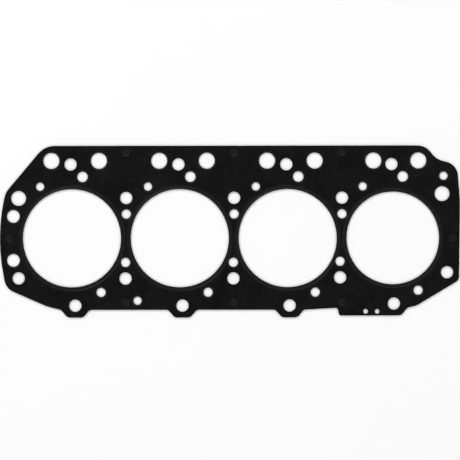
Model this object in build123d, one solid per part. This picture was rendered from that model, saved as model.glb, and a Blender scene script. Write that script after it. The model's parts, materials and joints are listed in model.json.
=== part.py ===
from build123d import *
import os

# Head gasket for a four-cylinder pushrod engine. Two spring-steel layers with pressed beads lie on a flat
# carrier layer, with a stopper ring round each bore and rivets that hold the stack together.
# Millimetres. The origin is on the block face, midway between the second and third bores. X runs along
# the row of bores, Y points to the pushrod side, and Z to the cylinder head.

# ---- Stack
layer_t = 0.25              # each spring-steel layer, with its coat
carrier_t = 0.7
stopper_t = 0.12
bead_h = 0.2                # height of every pressed bead, land and dimple

# ---- Bores
bore_d = 98.1
last_bore_d = 92.6          # the fourth bore is smaller, and the holes of its bay lie closer to it
web_w = 9.8                 # between two bores

# ---- Holes in every bay: diameter, and place from the bay's bore
pushrod_d = 16.0
pushrod_dx = [-20.5, 27.1]
pushrod_dy = 28.4           # the upper rows are measured from the bores' edge
bolt_d = 12.3
top_bolt_dx, top_bolt_dy = -1.3, 24.8
coolant_d = 10.5
coolant_dx, coolant_dy = 10.6, 12.4
drain_d = 8.2
drain_dx, drain_dy = -31.8, 2.6
low_bolt_dx, low_bolt_dy = 2.2, -18.4
low_coolant_d = 9.1
low_coolant_dx, low_coolant_dy = 27.9, -5.1
low_row_spread = 0.993      # the low rows are spaced a little closer than the bores
last_low_lift = 1.8         # and lie this much higher in the last bay

# ---- Holes in the webs, above and below the row of bores
web_bolt_y = 40.3
web_coolant_d = 9.2
web_coolant_y = 24.2
web_lean = 0.4              # sideways, to +X above the row of bores and to -X below it
last_web_dx, last_web_lift = -1.2, 0.9      # further shift of the last web's lower holes
feed_d = 8.2                # pressure oil to the rocker gear, below the first web
feed_dx, feed_dy = 11.6, 4.9

# ---- Holes at the two ends, from the edge of the end bore
dowel_d = 15.0              # for a head bolt with a ring dowel round it
left_bolt_dx, left_bolt_y = -4.3, 40.0
end_coolant_d = 12.8
end_coolant_dx, end_coolant_y = -9.5, 22.0
right_dowel_dx, right_dowel_y = 3.0, 44.2
right_bolt_dx, right_bolt_y = 7.9, -34.4
right_drain_dx, right_drain_y = 4.5, 62.1

# ---- Pressed forms in the spring-steel layers
slope_w = 0.6               # slope at the side of a bead, land or dimple
bore_rim_w = 1.3            # flat rim between a bore and its bead
bore_bead_w = 2.4           # with both slopes
land_w = 0.7                # flat land round a passage, inside its slope
stopper_gap = 0.15          # from a stopper ring to the bore's edge and to the bead

# ---- Rivets, whose flat heads lie flush in the dimples
rivet_d = 3.0
rivet_head_d = 5.2
rivet_head_gap = 0.2        # from a head to the slope round it
rivet_hole_gap = 0.05       # round the shank
rivet_margin = 7.0          # from the long edges of the gasket
end_rivet_dx = 14.0         # from the end bores' edges

# ---- Outline
top_margin = 15.0           # from the pushrods to the top edge
low_margin = 4.2            # from the low bolts to the bottom edge
lobe_margin = 11.9          # from the low bolts to the tips of the lobes round them
lobe_tip_w, lobe_tip_r = 15.6, 6.0
lobe_foot_w, lobe_foot_r = 28.6, 5.0
tab_w = 54.8                # the grade tab, from the last low bolt to its far side
tab_slant, tab_r = 1.4, 2.4
grade_hole_d = 4.9          # two holes in the tab mark the thickness grade
grade_hole_pitch = 11.5
grade_hole_dx = 16.8        # from the last low bolt back to the nearer hole
grade_hole_margin = 4.1     # from the tab's lower edge
left_bulge_dx = -26.0       # from the end bores' edges to the outline's furthest corners
right_side_dx = 20.9

# ---- Places that follow from these sizes
bore_r = bore_d / 2
bore_ds = [bore_d, bore_d, bore_d, last_bore_d]
pitch = bore_d + web_w
web_x = [-pitch, 0.0, pitch]
bore_x = [-1.5 * pitch, -0.5 * pitch, 0.5 * pitch, pitch + (web_w + last_bore_d) / 2]
first_edge = bore_x[0] - bore_r
last_edge = bore_x[-1] + last_bore_d / 2
pushrod_y = bore_r + pushrod_dy
top_y = pushrod_y + top_margin
low_bolt_y = low_bolt_dy - bore_r
carrier_z = layer_t + bead_h
gasket_t = 2 * carrier_z + carrier_t


def in_bays(dx, y, spread=1.0, last_lift=0.0):
    """The same place in each bay. A smaller bore draws it in along X, by the ratio of the bores."""
    places = [(spread * x + dx * d / bore_d, y) for x, d in zip(bore_x, bore_ds)]
    places[-1] = (places[-1][0], y + last_lift)
    return places


def in_webs(y):
    """One place above and one below the row of bores in each web."""
    places = [(x + way * web_lean, way * y) for x in web_x for way in (1, -1)]
    last_x, last_y = places[-1]
    places[-1] = (last_x + last_web_dx, last_y + last_web_lift)
    return places


low_bolts = in_bays(low_bolt_dx, low_bolt_y, low_row_spread, last_low_lift)
last_bolt_x, last_bolt_y = low_bolts[-1]
low_edge_y = low_bolt_y - low_margin
tab_edge_y = last_bolt_y - lobe_margin

# Bolt, dowel and grade holes are plain
bolts = (
    in_bays(top_bolt_dx, bore_r + top_bolt_dy)
    + low_bolts
    + in_webs(web_bolt_y)
    + [(first_edge + left_bolt_dx, -left_bolt_y), (last_edge + right_bolt_dx, right_bolt_y)]
)
dowels = [(first_edge + left_bolt_dx, left_bolt_y), (last_edge + right_dowel_dx, right_dowel_y)]
grade_hole_x = last_bolt_x - grade_hole_dx
grade_holes = [
    (x, tab_edge_y + grade_hole_margin) for x in (grade_hole_x, grade_hole_x - grade_hole_pitch)
]
plain_holes = [(bolt_d, bolts), (dowel_d, dowels), (grade_hole_d, grade_holes)]

# Oil and coolant pass through these, and so do the pushrods, so each has a pressed land round it
passages = [
    (pushrod_d, [place for dx in pushrod_dx for place in in_bays(dx, pushrod_y)]),
    (coolant_d, in_bays(coolant_dx, bore_r + coolant_dy)),
    (drain_d, in_bays(drain_dx, bore_r + drain_dy) + [(last_edge + right_drain_dx, right_drain_y)]),
    (low_coolant_d, in_bays(low_coolant_dx, low_coolant_dy - bore_r, low_row_spread, last_low_lift)),
    (web_coolant_d, in_webs(web_coolant_y)),
    (feed_d, [(web_x[0] + feed_dx, low_bolt_y + feed_dy)]),
    (end_coolant_d, [(first_edge + end_coolant_dx, way * end_coolant_y) for way in (1, -1)]),
]

rivets = (
    [(x, top_y - rivet_margin) for x in web_x]
    + [(x, low_edge_y + rivet_margin) for x in web_x]
    + [(first_edge - end_rivet_dx, 0.0), (last_edge + end_rivet_dx, 0.0)]
)


def lobe(bolt_x, bolt_y, ratio):
    """Corners of the lobe below a low bolt, from left to right."""
    foot, tip = ratio * lobe_foot_w / 2, ratio * lobe_tip_w / 2
    foot_y, tip_y = bolt_y - low_margin, bolt_y - lobe_margin
    return [
        (bolt_x - foot, foot_y, lobe_foot_r),
        (bolt_x - tip, tip_y, lobe_tip_r),
        (bolt_x + tip, tip_y, lobe_tip_r),
        (bolt_x + foot, foot_y, lobe_foot_r),
    ]


def outline():
    """The edge of every layer, from corners with a radius each, anticlockwise from the top left."""
    left_end = [
        (22.0, top_y, 22.0),
        (-17.4, top_y - 46.8, 22.0),
        (left_bulge_dx, 1.8, 185.0),
        (-17.1, low_bolt_y + 17.4, 15.0),
        (23.7, low_bolt_y - 0.6, 60.0),
    ]
    right_end = [
        (-22.8, low_bolt_y - 0.4, 22.0),
        (19.8, low_bolt_y + 25.2, 6.0),
        (right_side_dx, top_y - 55.7, 120.0),
        (17.9, top_y - 18.6, 15.0),
        (-3.2, top_y - 14.1, 20.0),
        (-12.9, top_y, 17.0),
    ]
    corners = [(first_edge + dx, y, r) for dx, y, r in left_end]
    for (x, y), d in zip(low_bolts[:-1], bore_ds):
        corners += lobe(x, y, d / bore_d)
    # the last lobe reaches further left, as the tab
    corners += [
        (last_bolt_x - tab_w - tab_slant, last_bolt_y - low_margin, tab_r),
        (last_bolt_x - tab_w, tab_edge_y, tab_r),
    ]
    corners += lobe(last_bolt_x, last_bolt_y, last_bore_d / bore_d)[2:]
    corners += [(last_edge + dx, y, r) for dx, y, r in right_end]
    points = [(x, y) for x, y, _ in corners]
    return FilletPolyline(*points, radius=[r for _, _, r in corners], close=True)


def standing(shape, places, z=0.0):
    return [Pos(x, y, z) * shape for x, y in places]


def cone(base_r, top_r, height):
    return Cone(base_r, top_r, height, align=(Align.CENTER, Align.CENTER, Align.MIN))


def drum(diameter, height):
    return Cylinder(diameter / 2, height, align=(Align.CENTER, Align.CENTER, Align.MIN))


def pressed_forms():
    """Every form that is pressed up from the block face, as a solid that stands on z = 0."""
    forms = []
    for x, d in zip(bore_x, bore_ds):
        inner_r = d / 2 + bore_rim_w
        outer_r = inner_r + bore_bead_w
        bead = cone(outer_r, outer_r - slope_w, bead_h) - cone(inner_r, inner_r + slope_w, bead_h)
        forms += standing(bead, [(x, 0)])
    for d, places in passages:
        land_r = d / 2 + land_w
        forms += standing(cone(land_r + slope_w, land_r, bead_h), places)
    dimple_r = rivet_head_d / 2 + rivet_head_gap
    forms += standing(cone(dimple_r + slope_w, dimple_r, bead_h), rivets)
    return forms


def through_holes():
    """A cutter for each hole in the gasket."""
    cutters = [Pos(x, 0, -gasket_t) * drum(d, 3 * gasket_t) for x, d in zip(bore_x, bore_ds)]
    for d, places in plain_holes + passages + [(rivet_d + 2 * rivet_hole_gap, rivets)]:
        cutters += standing(drum(d, 3 * gasket_t), places, -gasket_t)
    return cutters


def spring_layer():
    """The lower layer: a pressed sheet whose beads and lands stand up to the carrier."""
    forms = pressed_forms()
    sheet = extrude(make_face(outline()), layer_t)
    sheet += [Pos(0, 0, layer_t) * form for form in forms]
    return sheet - forms - through_holes()


def carrier_layer():
    sheet = extrude(make_face(outline()), carrier_t) - through_holes()
    return Pos(0, 0, carrier_z) * sheet


def stopper_ring(d):
    inner_d, outer_d = d + 2 * stopper_gap, d + 2 * (bore_rim_w - stopper_gap)
    return drum(outer_d, stopper_t) - drum(inner_d, stopper_t)


def rivet():
    """A shank through all the layers, with a flat head in the dimple at each end."""
    head = drum(rivet_head_d, bead_h)
    return head + Pos(0, 0, gasket_t - bead_h) * head + drum(rivet_d, gasket_t)


lower_layer = spring_layer()
parts = {
    "lower_layer": lower_layer,
    "carrier_layer": carrier_layer(),
    "upper_layer": mirror(lower_layer, Plane.XY.offset(gasket_t / 2)),
}
for i, (x, d) in enumerate(zip(bore_x, bore_ds), 1):
    parts[f"stopper_ring_{i}"] = Pos(x, 0, carrier_z + carrier_t) * stopper_ring(d)
for i, (x, y) in enumerate(rivets, 1):
    parts[f"rivet_{i}"] = Pos(x, y, 0) * rivet()

os.makedirs("parts", exist_ok=True)
for name, part in parts.items():
    export_step(part, f"parts/{name}.step")
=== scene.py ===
import json
import math

import bmesh
import bpy
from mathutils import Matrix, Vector


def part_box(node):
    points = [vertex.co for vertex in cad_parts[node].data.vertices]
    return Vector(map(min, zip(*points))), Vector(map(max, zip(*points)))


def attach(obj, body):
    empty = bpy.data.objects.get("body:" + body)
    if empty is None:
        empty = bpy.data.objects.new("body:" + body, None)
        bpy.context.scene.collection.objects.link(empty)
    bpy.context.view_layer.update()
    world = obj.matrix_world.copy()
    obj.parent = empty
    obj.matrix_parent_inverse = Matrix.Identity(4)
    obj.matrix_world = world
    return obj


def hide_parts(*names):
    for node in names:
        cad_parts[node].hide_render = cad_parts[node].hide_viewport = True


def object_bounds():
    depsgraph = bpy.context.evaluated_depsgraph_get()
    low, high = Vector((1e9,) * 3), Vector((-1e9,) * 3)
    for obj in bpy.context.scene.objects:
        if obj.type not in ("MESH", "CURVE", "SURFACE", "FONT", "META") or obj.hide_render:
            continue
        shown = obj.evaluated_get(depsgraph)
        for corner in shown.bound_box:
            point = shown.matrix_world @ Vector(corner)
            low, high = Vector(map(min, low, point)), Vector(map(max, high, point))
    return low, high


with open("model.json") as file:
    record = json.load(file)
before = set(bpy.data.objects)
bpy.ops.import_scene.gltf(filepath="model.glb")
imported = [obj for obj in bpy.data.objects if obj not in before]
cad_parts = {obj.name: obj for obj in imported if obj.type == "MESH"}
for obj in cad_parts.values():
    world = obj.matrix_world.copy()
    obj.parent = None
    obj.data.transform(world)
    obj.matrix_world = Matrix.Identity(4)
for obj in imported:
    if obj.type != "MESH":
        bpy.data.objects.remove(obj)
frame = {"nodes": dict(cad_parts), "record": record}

# Looks for a riveted three-layer steel head gasket, coated black, that lies flat on a pale floor.
# Metres, in the part's own frame: the block face is z = 0, and the camera looks straight down.

cad_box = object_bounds()
gasket_top = cad_box[1].z

# ---- Camera
view_w = 0.460              # what the picture shows, across the top face
view_centre = (-0.00373, 0.0081)
view_roll = -0.08           # degrees
lens = 135.0                # mm, on Blender's 36 mm sensor
sensor_w = 36.0

# ---- Light: a pale dome and one soft box. The dome is dim overhead, where the flat black faces mirror it,
# and brightest where the slopes of the beads do
dome_strength = 1.9
dome_levels = [             # sine of the elevation, and brightness there
    (0.0, 0.50),            # horizon
    (0.05, 0.48),
    (0.16, 0.18),           # low sky
    (0.40, 0.20),
    (0.62, 0.85),           # bright ring
    (0.70, 1.0),
    (0.81, 1.0),
    (0.90, 0.012),          # dim cap
]
key_place = (-1.20, 2.00, 2.10)
key_size = 1.3
key_watts = 22.0

# ---- Rivets
rivet_head_r = 0.0026
rivet_head_t = 0.0002
rivet_shank_r = 0.0015
rivet_rim = 0.00007         # roundness of the head's rim
rim_steps = 3
punch_r = 0.00095
punch_depth = 0.00009
punch_mark = [              # from the middle out: shares of the punch mark's radius and of its depth
    (0.0, 1.0),
    (0.7, 0.9),
    (0.9, 0.4),
    (1.0, 0.08),
    (1.12, 0.0),
]
lathe_steps = 64
sharp_angle = 40.0          # degrees between faces, from which an edge is drawn sharp

# ---- Floor
floor_w = 40.0
floor_gap = 0.00003         # below the block face


class Shader:
    """Builds one material's nodes. Textures are placed in metres on the part."""

    def __init__(self, name):
        self.material = bpy.data.materials.new(name)
        self.material.use_nodes = True
        self.tree = self.material.node_tree
        self.surface = self.tree.nodes["Principled BSDF"]
        self.place = self.add("ShaderNodeTexCoord").outputs["Object"]

    def add(self, kind, inputs=(), **settings):
        node = self.tree.nodes.new(kind)
        for key, value in settings.items():
            setattr(node, key, value)
        for key, value in dict(inputs).items():
            self.put(value, node.inputs[key])
        return node

    def put(self, value, socket):
        if isinstance(value, bpy.types.NodeSocket):
            self.tree.links.new(value, socket)
        else:
            socket.default_value = value

    def math(self, operation, *values):
        return self.add("ShaderNodeMath", enumerate(values), operation=operation).outputs[0]

    def stretched(self, size, turn=0.0, place=None):
        """Places divided by a size along each axis, on axes turned about Z, so that a texture of scale 1 has
        features of that size."""
        inputs = {"Vector": place or self.place, "Scale": size, "Rotation": (0.0, 0.0, math.radians(turn))}
        return self.add("ShaderNodeMapping", inputs, vector_type="TEXTURE").outputs[0]

    def wavy(self, size, amount):
        """Places pushed along each axis by 0 to an amount, in waves of a size."""
        waves = {"Vector": self.stretched((size,) * 3), "Scale": 1.0, "Detail": 1.0}
        push = self.add("ShaderNodeTexNoise", waves).outputs["Color"]
        inputs = {0: push, 1: (amount,) * 3, 2: self.place}
        return self.add("ShaderNodeVectorMath", inputs, operation="MULTIPLY_ADD").outputs[0]

    def noise(self, size, detail=3.0, roughness=0.5, **placing):
        """Noise from 0 to 1 with features of a size in metres, which may differ along X, Y and Z."""
        size = size if isinstance(size, tuple) else (size,) * 3
        place = self.stretched(size, **placing)
        inputs = {"Vector": place, "Scale": 1.0, "Detail": detail, "Roughness": roughness}
        return self.add("ShaderNodeTexNoise", inputs).outputs["Fac"]

    def span(self, value, low, high, to_low=0.0, to_high=1.0):
        """The value's range from low to high brought to another range, and held there beyond its ends."""
        inputs = {"Value": value, "From Min": low, "From Max": high, "To Min": to_low, "To Max": to_high}
        return self.add("ShaderNodeMapRange", inputs).outputs[0]

    def mix(self, share, a, b):
        """Colour a, or b where the share is 1."""
        node = self.add("ShaderNodeMix", data_type="RGBA")
        for socket, value in zip((node.inputs[0], node.inputs[6], node.inputs[7]), (share, a, b)):
            self.put(value, socket)
        return node.outputs[2]

    def blend(self, share, a, b):
        """Number a, or b where the share is 1."""
        node = self.add("ShaderNodeMix", data_type="FLOAT")
        for socket, value in zip(node.inputs[:1] + node.inputs[2:4], (share, a, b)):
            self.put(value, socket)
        return node.outputs[0]

    def bump(self, height, distance, normal=None):
        inputs = {"Height": height, "Distance": distance, "Strength": 1.0}
        if normal:
            inputs["Normal"] = normal
        return self.add("ShaderNodeBump", inputs).outputs[0]

    def walls(self):
        """1 on upright walls, such as punched edges, and 0 on flat faces and slopes."""
        normal = self.add("ShaderNodeTexCoord").outputs["Normal"]
        up = self.add("ShaderNodeSeparateXYZ", {"Vector": normal}).outputs["Z"]
        return self.span(self.math("ABSOLUTE", up), 0.5, 0.4)

    def finish(self, **inputs):
        for key, value in inputs.items():
            self.put(value, self.surface.inputs[key.replace("_", " ")])
        return self.material


def grey(value, warm=0.0):
    return (value * (1 + warm), value, value * (1 - warm), 1.0)


def coated_steel(name, lightness=1.0):
    """Thin satin black elastomer coat on steel sheet, with bare metal where the sheet was punched."""
    s = Shader(name)
    blotches = s.noise(0.030, detail=3.0)
    mottle = s.noise(0.005, detail=4.0, roughness=0.6)
    peel = s.noise(0.00045, detail=2.0)
    grain = s.noise(0.00012, detail=1.0)
    rolled = s.noise((0.080, 0.0009, 1.0), detail=3.0, roughness=0.6)
    coat = s.mix(blotches, grey(0.0024 * lightness), grey(0.0042 * lightness, 0.03))
    coat = s.mix(s.span(mottle, 0.52, 0.75), coat, grey(0.0065 * lightness, 0.02))

    # hairlines from handling, in loose bundles
    bent = s.wavy(0.020, 0.004)
    hairlines = 0.0
    for turn, length, width in ((14.0, 0.026, 0.00028), (-63.0, 0.018, 0.00035), (101.0, 0.030, 0.00025)):
        lines = s.noise((length, width, 1.0), detail=1.0, turn=turn, place=bent)
        where = s.noise(0.024, detail=1.0, turn=turn)
        bundle = s.math("MULTIPLY", s.span(lines, 0.70, 0.78), s.span(where, 0.54, 0.66))
        hairlines = s.math("MAXIMUM", bundle, hairlines)
    coat = s.mix(s.math("MULTIPLY", hairlines, 0.6), coat, grey(0.028))

    gloss = s.span(mottle, 0.3, 0.7, 0.31, 0.35)
    gloss = s.math("ADD", gloss, s.span(blotches, 0.35, 0.65, -0.02, 0.03))
    gloss = s.math("ADD", gloss, s.span(rolled, 0.3, 0.7, -0.02, 0.02))
    gloss = s.math("SUBTRACT", gloss, s.math("MULTIPLY", hairlines, 0.08))
    texture = s.math("ADD", s.math("MULTIPLY", peel, 0.7), s.math("MULTIPLY", rolled, 0.25))
    normal = s.bump(grain, 0.000003, s.bump(texture, 0.000010))

    # punched edges: burnished where the punch went in, torn and duller below
    walls = s.walls()
    torn = s.noise((0.0003, 0.0003, 0.002), detail=3.0)
    steel = s.mix(torn, grey(0.16), grey(0.34, 0.01))
    return s.finish(
        Base_Color=s.mix(walls, coat, steel),
        Metallic=walls,
        Roughness=s.blend(walls, gloss, s.span(torn, 0.3, 0.7, 0.30, 0.52)),
        Specular_IOR_Level=0.22,
        Normal=normal,
    )


def bare_steel(name):
    """Rolled stainless steel, with fine lines along the strip."""
    s = Shader(name)
    lines = s.noise((0.040, 0.0002, 0.01), detail=4.0, roughness=0.7)
    return s.finish(
        Base_Color=s.mix(lines, grey(0.38), grey(0.52, 0.01)),
        Metallic=1.0,
        Roughness=s.span(lines, 0.3, 0.7, 0.24, 0.36),
        Normal=s.bump(lines, 0.000004),
    )


def rivet_steel(name):
    """Blackened rivet steel, with the blacking rubbed thin where the press met its face."""
    s = Shader(name)
    mottle = s.noise(0.0006, detail=3.0, roughness=0.6)
    fine = s.noise(0.00015, detail=2.0)
    rubbed = s.span(mottle, 0.45, 0.75)
    return s.finish(
        Base_Color=s.mix(rubbed, grey(0.005), grey(0.013, 0.02)),
        Metallic=0.2,
        Specular_IOR_Level=0.25,
        Roughness=s.span(mottle, 0.3, 0.7, 0.32, 0.46),
        Normal=s.bump(fine, 0.000004),
    )


def floor_paint(name):
    s = Shader(name)
    cloudy = s.noise(0.4, detail=2.0)
    fine = s.noise(0.0012, detail=2.0)
    return s.finish(
        Base_Color=s.mix(cloudy, grey(0.885), grey(0.90)),
        Roughness=0.85,
        Normal=s.bump(fine, 0.00001),
    )


# ---- Materials on the part's own solids, by the slot that the record gives each of them
finishes = {
    "coated_steel": coated_steel("coated_steel_look"),
    "carrier_steel": coated_steel("carrier_steel_look", lightness=1.5),
    "stopper_steel": bare_steel("stopper_steel_look"),
    "rivet": rivet_steel("rivet_look"),
}
slots = {part["node"]: part["material_slot"] for part in frame["record"]["subparts"]}
for node, piece in frame["nodes"].items():
    for slot in piece.material_slots:
        slot.material = finishes[slots[node]]


# ---- Rivets, in place of the plain solids: rolled rims, and a punch mark where the shank was spread
def rivet_profile(height):
    """The upper half of a rivet's outline, from the middle of its top to its waist: radius and height."""
    head_r, rim = rivet_head_r, rivet_rim
    under_head = height - rivet_head_t
    punched = [(punch_r * out, height - punch_depth * deep) for out, deep in punch_mark]
    turns = [math.pi / 2 * k / rim_steps for k in range(rim_steps + 1)]
    rolled = [(head_r - rim + math.sin(t) * rim, height - rim + math.cos(t) * rim) for t in turns]
    return punched + rolled + [(head_r, under_head), (rivet_shank_r, under_head)]


def lathe(name, profile, centre):
    """A closed mesh turned about an upright axis, from an outline that starts and ends on the axis."""
    mesh = bmesh.new()
    rings = []
    for r, z in profile:
        angles = [2 * math.pi * k / lathe_steps for k in range(lathe_steps)] if r else [0.0]
        rings.append([mesh.verts.new((r * math.cos(a), r * math.sin(a), z)) for a in angles])
    for upper, lower in zip(rings, rings[1:]):
        for k in range(lathe_steps):
            around = ((upper, k), (lower, k), (lower, k + 1), (upper, k + 1))
            corners = [ring[place % len(ring)] for ring, place in around]
            face = mesh.faces.new(list(dict.fromkeys(corners)))
            face.smooth = True
    data = bpy.data.meshes.new(name)
    mesh.to_mesh(data)
    mesh.free()
    data.set_sharp_from_angle(angle=math.radians(sharp_angle))
    piece = bpy.data.objects.new(name, data)
    piece.location = centre
    bpy.context.collection.objects.link(piece)
    return piece


for node in slots:
    if slots[node] == "rivet":
        low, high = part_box(node)
        half = (high.z - low.z) / 2
        upper = rivet_profile(half)
        piece = lathe(node + "_look", upper + [(r, -z) for r, z in reversed(upper)], (low + high) / 2)
        piece.data.materials.append(finishes["rivet"])
        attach(piece, "root")
        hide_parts(node)

# ---- Floor
bpy.ops.mesh.primitive_plane_add(size=floor_w, location=(0, 0, -floor_gap))
floor = bpy.context.object
floor.name = "floor"
floor.data.materials.append(floor_paint("floor_paint"))

# ---- Soft light
key = bpy.data.objects.new("key", bpy.data.lights.new("key", "AREA"))
key.data.shape = "SQUARE"
key.data.size = key_size
key.data.energy = key_watts
key.location = key_place
key.rotation_mode = "QUATERNION"
key.rotation_quaternion = Vector(key_place).to_track_quat("Z", "Y")
bpy.context.collection.objects.link(key)

world = bpy.data.worlds.new("studio")
bpy.context.scene.world = world
world.use_nodes = True
sky = world.node_tree
backing = sky.nodes["Background"]
way_up = sky.nodes.new("ShaderNodeSeparateXYZ")
sky.links.new(sky.nodes.new("ShaderNodeTexCoord").outputs["Generated"], way_up.inputs[0])
levels = sky.nodes.new("ShaderNodeValToRGB")
levels.color_ramp.interpolation = "EASE"
for _ in dome_levels[2:]:
    levels.color_ramp.elements.new(1.0)
for step, (sine, level) in zip(levels.color_ramp.elements, dome_levels):
    step.position = sine
    step.color = grey(level)
sky.links.new(way_up.outputs["Z"], levels.inputs[0])
sky.links.new(levels.outputs["Color"], backing.inputs["Color"])
backing.inputs["Strength"].default_value = dome_strength

# ---- Camera
camera = bpy.data.objects.new("camera", bpy.data.cameras.new("camera"))
camera.data.lens = lens
camera.data.sensor_width = sensor_w
camera.location = (*view_centre, gasket_top + view_w * lens / sensor_w)
camera.rotation_euler = (0.0, 0.0, math.radians(view_roll))
bpy.context.collection.objects.link(camera)
bpy.context.scene.camera = camera
bpy.context.scene.view_settings.view_transform = "Standard"
